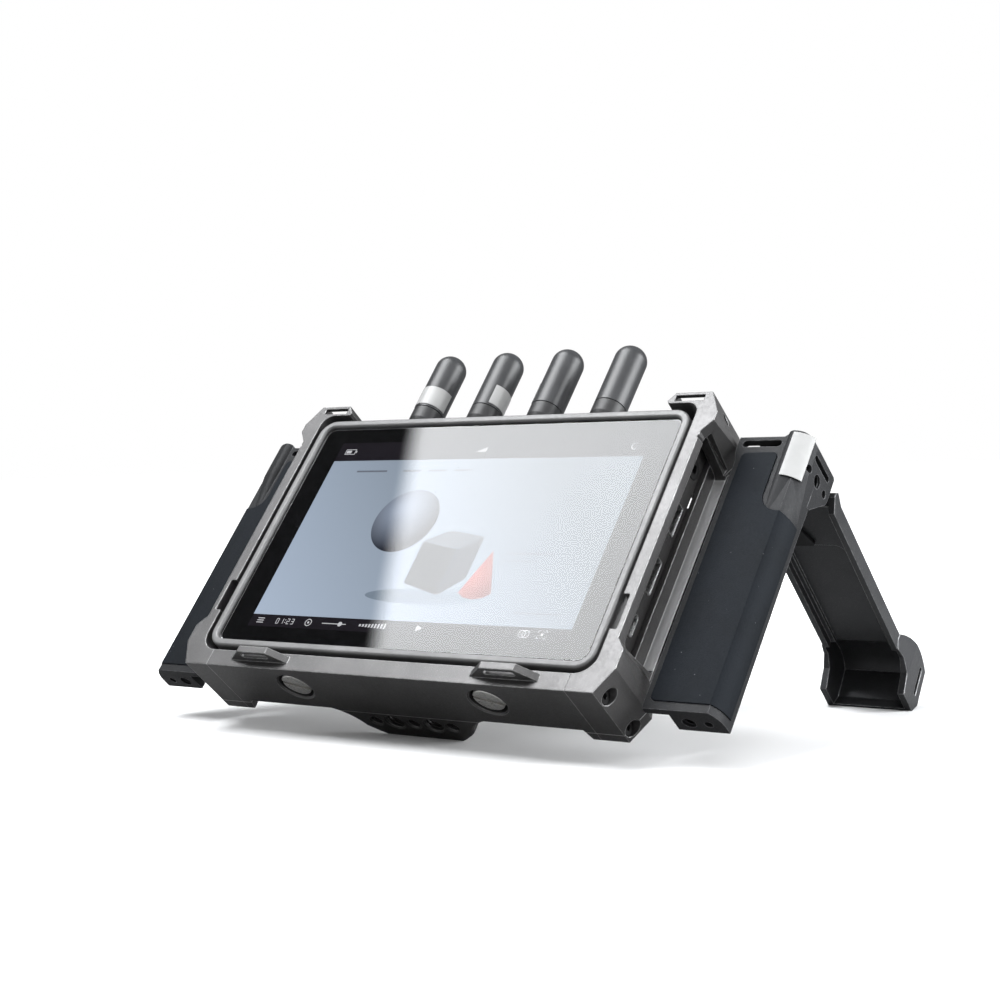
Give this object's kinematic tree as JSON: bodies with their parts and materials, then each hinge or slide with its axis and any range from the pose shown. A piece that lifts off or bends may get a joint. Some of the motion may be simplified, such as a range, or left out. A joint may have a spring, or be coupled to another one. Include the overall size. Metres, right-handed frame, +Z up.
{
  "type": "video monitor",
  "caption": "Flat touch-screen video monitor in a metal cage, with stub aerials on top and two side handles whose backs fold out as stand legs.",
  "frame": {"origin": "centre of the bounding box on the floor it stands on", "axes": "+X to the right seen from the front of the screen, -Y towards the viewer, +Z up; it stands leaning back on its legs"},
  "size_m": [0.2742, 0.1892, 0.1488],
  "materials": {
    "cage metal": "anodised satin",
    "handle metal": "anodised satin",
    "grip rubber": "matte, fine grained",
    "aerial plastic": "fine textured",
    "label": "matte paper",
    "rim": "anodised satin",
    "cover glass": "gloss",
    "display": "gloss",
    "housing plastic": "matte",
    "steel": "brushed",
    "black steel": "satin",
    "board": "solder mask",
    "aluminium": "milled",
    "brass": "plated",
    "black plastic": "matte"
  },
  "bodies": {
    "monitor": {"aerial_collars": "aerial plastic", "aerial_connectors": "brass", "backlight": "aluminium", "base_bushes": "brass", "battery_contacts": "brass", "battery_plate": "black plastic", "bottom_bar": "cage metal", "bracket_left": "handle metal", "bracket_right": "handle metal", "bracket_screws": "black steel", "cage_side_left": "cage metal", "cage_side_right": "cage metal", "chassis_plate": "aluminium", "coin_screws": "steel", "corner_screws": "black steel", "cover_glass": "cover glass", "display_panel": "display", "fan_frame": "black plastic", "front_frame": "rim", "grip_label": "label", "grip_left": "grip rubber", "grip_right": "grip rubber", "handle_left": "handle metal", "handle_right": "handle metal", "handle_screws": "black steel", "hdmi_socket": "steel", "headphone_jack": "black plastic", "heat_sink": "aluminium", "hinge_pin_left": "steel", "hinge_pin_right": "steel", "housing_screws": "black steel", "main_board": "board", "power_inlet": "black plastic", "power_switch": "black plastic", "radio_board": "board", "radio_shield": "steel", "rear_housing": "housing plastic", "usb_a_socket": "steel", "usb_c_socket": "steel"},
    "leg_left": {"leg_left": "handle metal", "leg_pad_left": "grip rubber"},
    "leg_right": {"leg_right": "handle metal", "leg_pad_right": "grip rubber"},
    "aerial_1": {"aerial_1": "aerial plastic", "aerial_label_1": "label"},
    "aerial_2": {"aerial_2": "aerial plastic", "aerial_label_2": "label"},
    "aerial_3": {"aerial_3": "aerial plastic", "aerial_label_3": "label"},
    "aerial_4": {"aerial_4": "aerial plastic"},
    "fan_rotor": {"fan_rotor": "black plastic"},
    "power_button": {"power_button": "black plastic"},
    "battery_latch": {"battery_latch": "black plastic"}
  },
  "joints": [
    {"name": "leg_left_fold", "type": "hinge", "parent": "monitor", "child": "leg_left", "pos_m": [-0.119, 0.00918, 0.08979], "axis": [-1, 0, 0], "range_deg": [0, 86.1]},
    {"name": "leg_right_fold", "type": "hinge", "parent": "monitor", "child": "leg_right", "pos_m": [0.119, 0.00918, 0.08979], "axis": [-1, 0, 0], "range_deg": [0, 86.1]},
    {"name": "aerial_1_turn", "type": "hinge", "parent": "monitor", "child": "aerial_1", "pos_m": [-0.045, 0.01118, 0.13109], "axis": [0, 0.6542, 0.7563], "range_deg": [-180, 180]},
    {"name": "aerial_2_turn", "type": "hinge", "parent": "monitor", "child": "aerial_2", "pos_m": [-0.015, 0.01118, 0.13109], "axis": [0, 0.6542, 0.7563], "range_deg": [-180, 180]},
    {"name": "aerial_3_turn", "type": "hinge", "parent": "monitor", "child": "aerial_3", "pos_m": [0.015, 0.01118, 0.13109], "axis": [0, 0.6542, 0.7563], "range_deg": [-180, 180]},
    {"name": "aerial_4_turn", "type": "hinge", "parent": "monitor", "child": "aerial_4", "pos_m": [0.045, 0.01118, 0.13109], "axis": [0, 0.6542, 0.7563], "range_deg": [-180, 180]},
    {"name": "fan_spin", "type": "hinge", "parent": "monitor", "child": "fan_rotor", "pos_m": [-0.062, -0.02692, 0.0787], "axis": [0, -0.7563, 0.6542], "continuous": true},
    {"name": "power_button_press", "type": "slide", "parent": "monitor", "child": "power_button", "axis": [1, 0, 0], "range_m": [0, 0.0007]},
    {"name": "battery_latch_slide", "type": "slide", "parent": "monitor", "child": "battery_latch", "axis": [0, -0.6542, -0.7563], "range_m": [0, 0.003]}
  ]
}
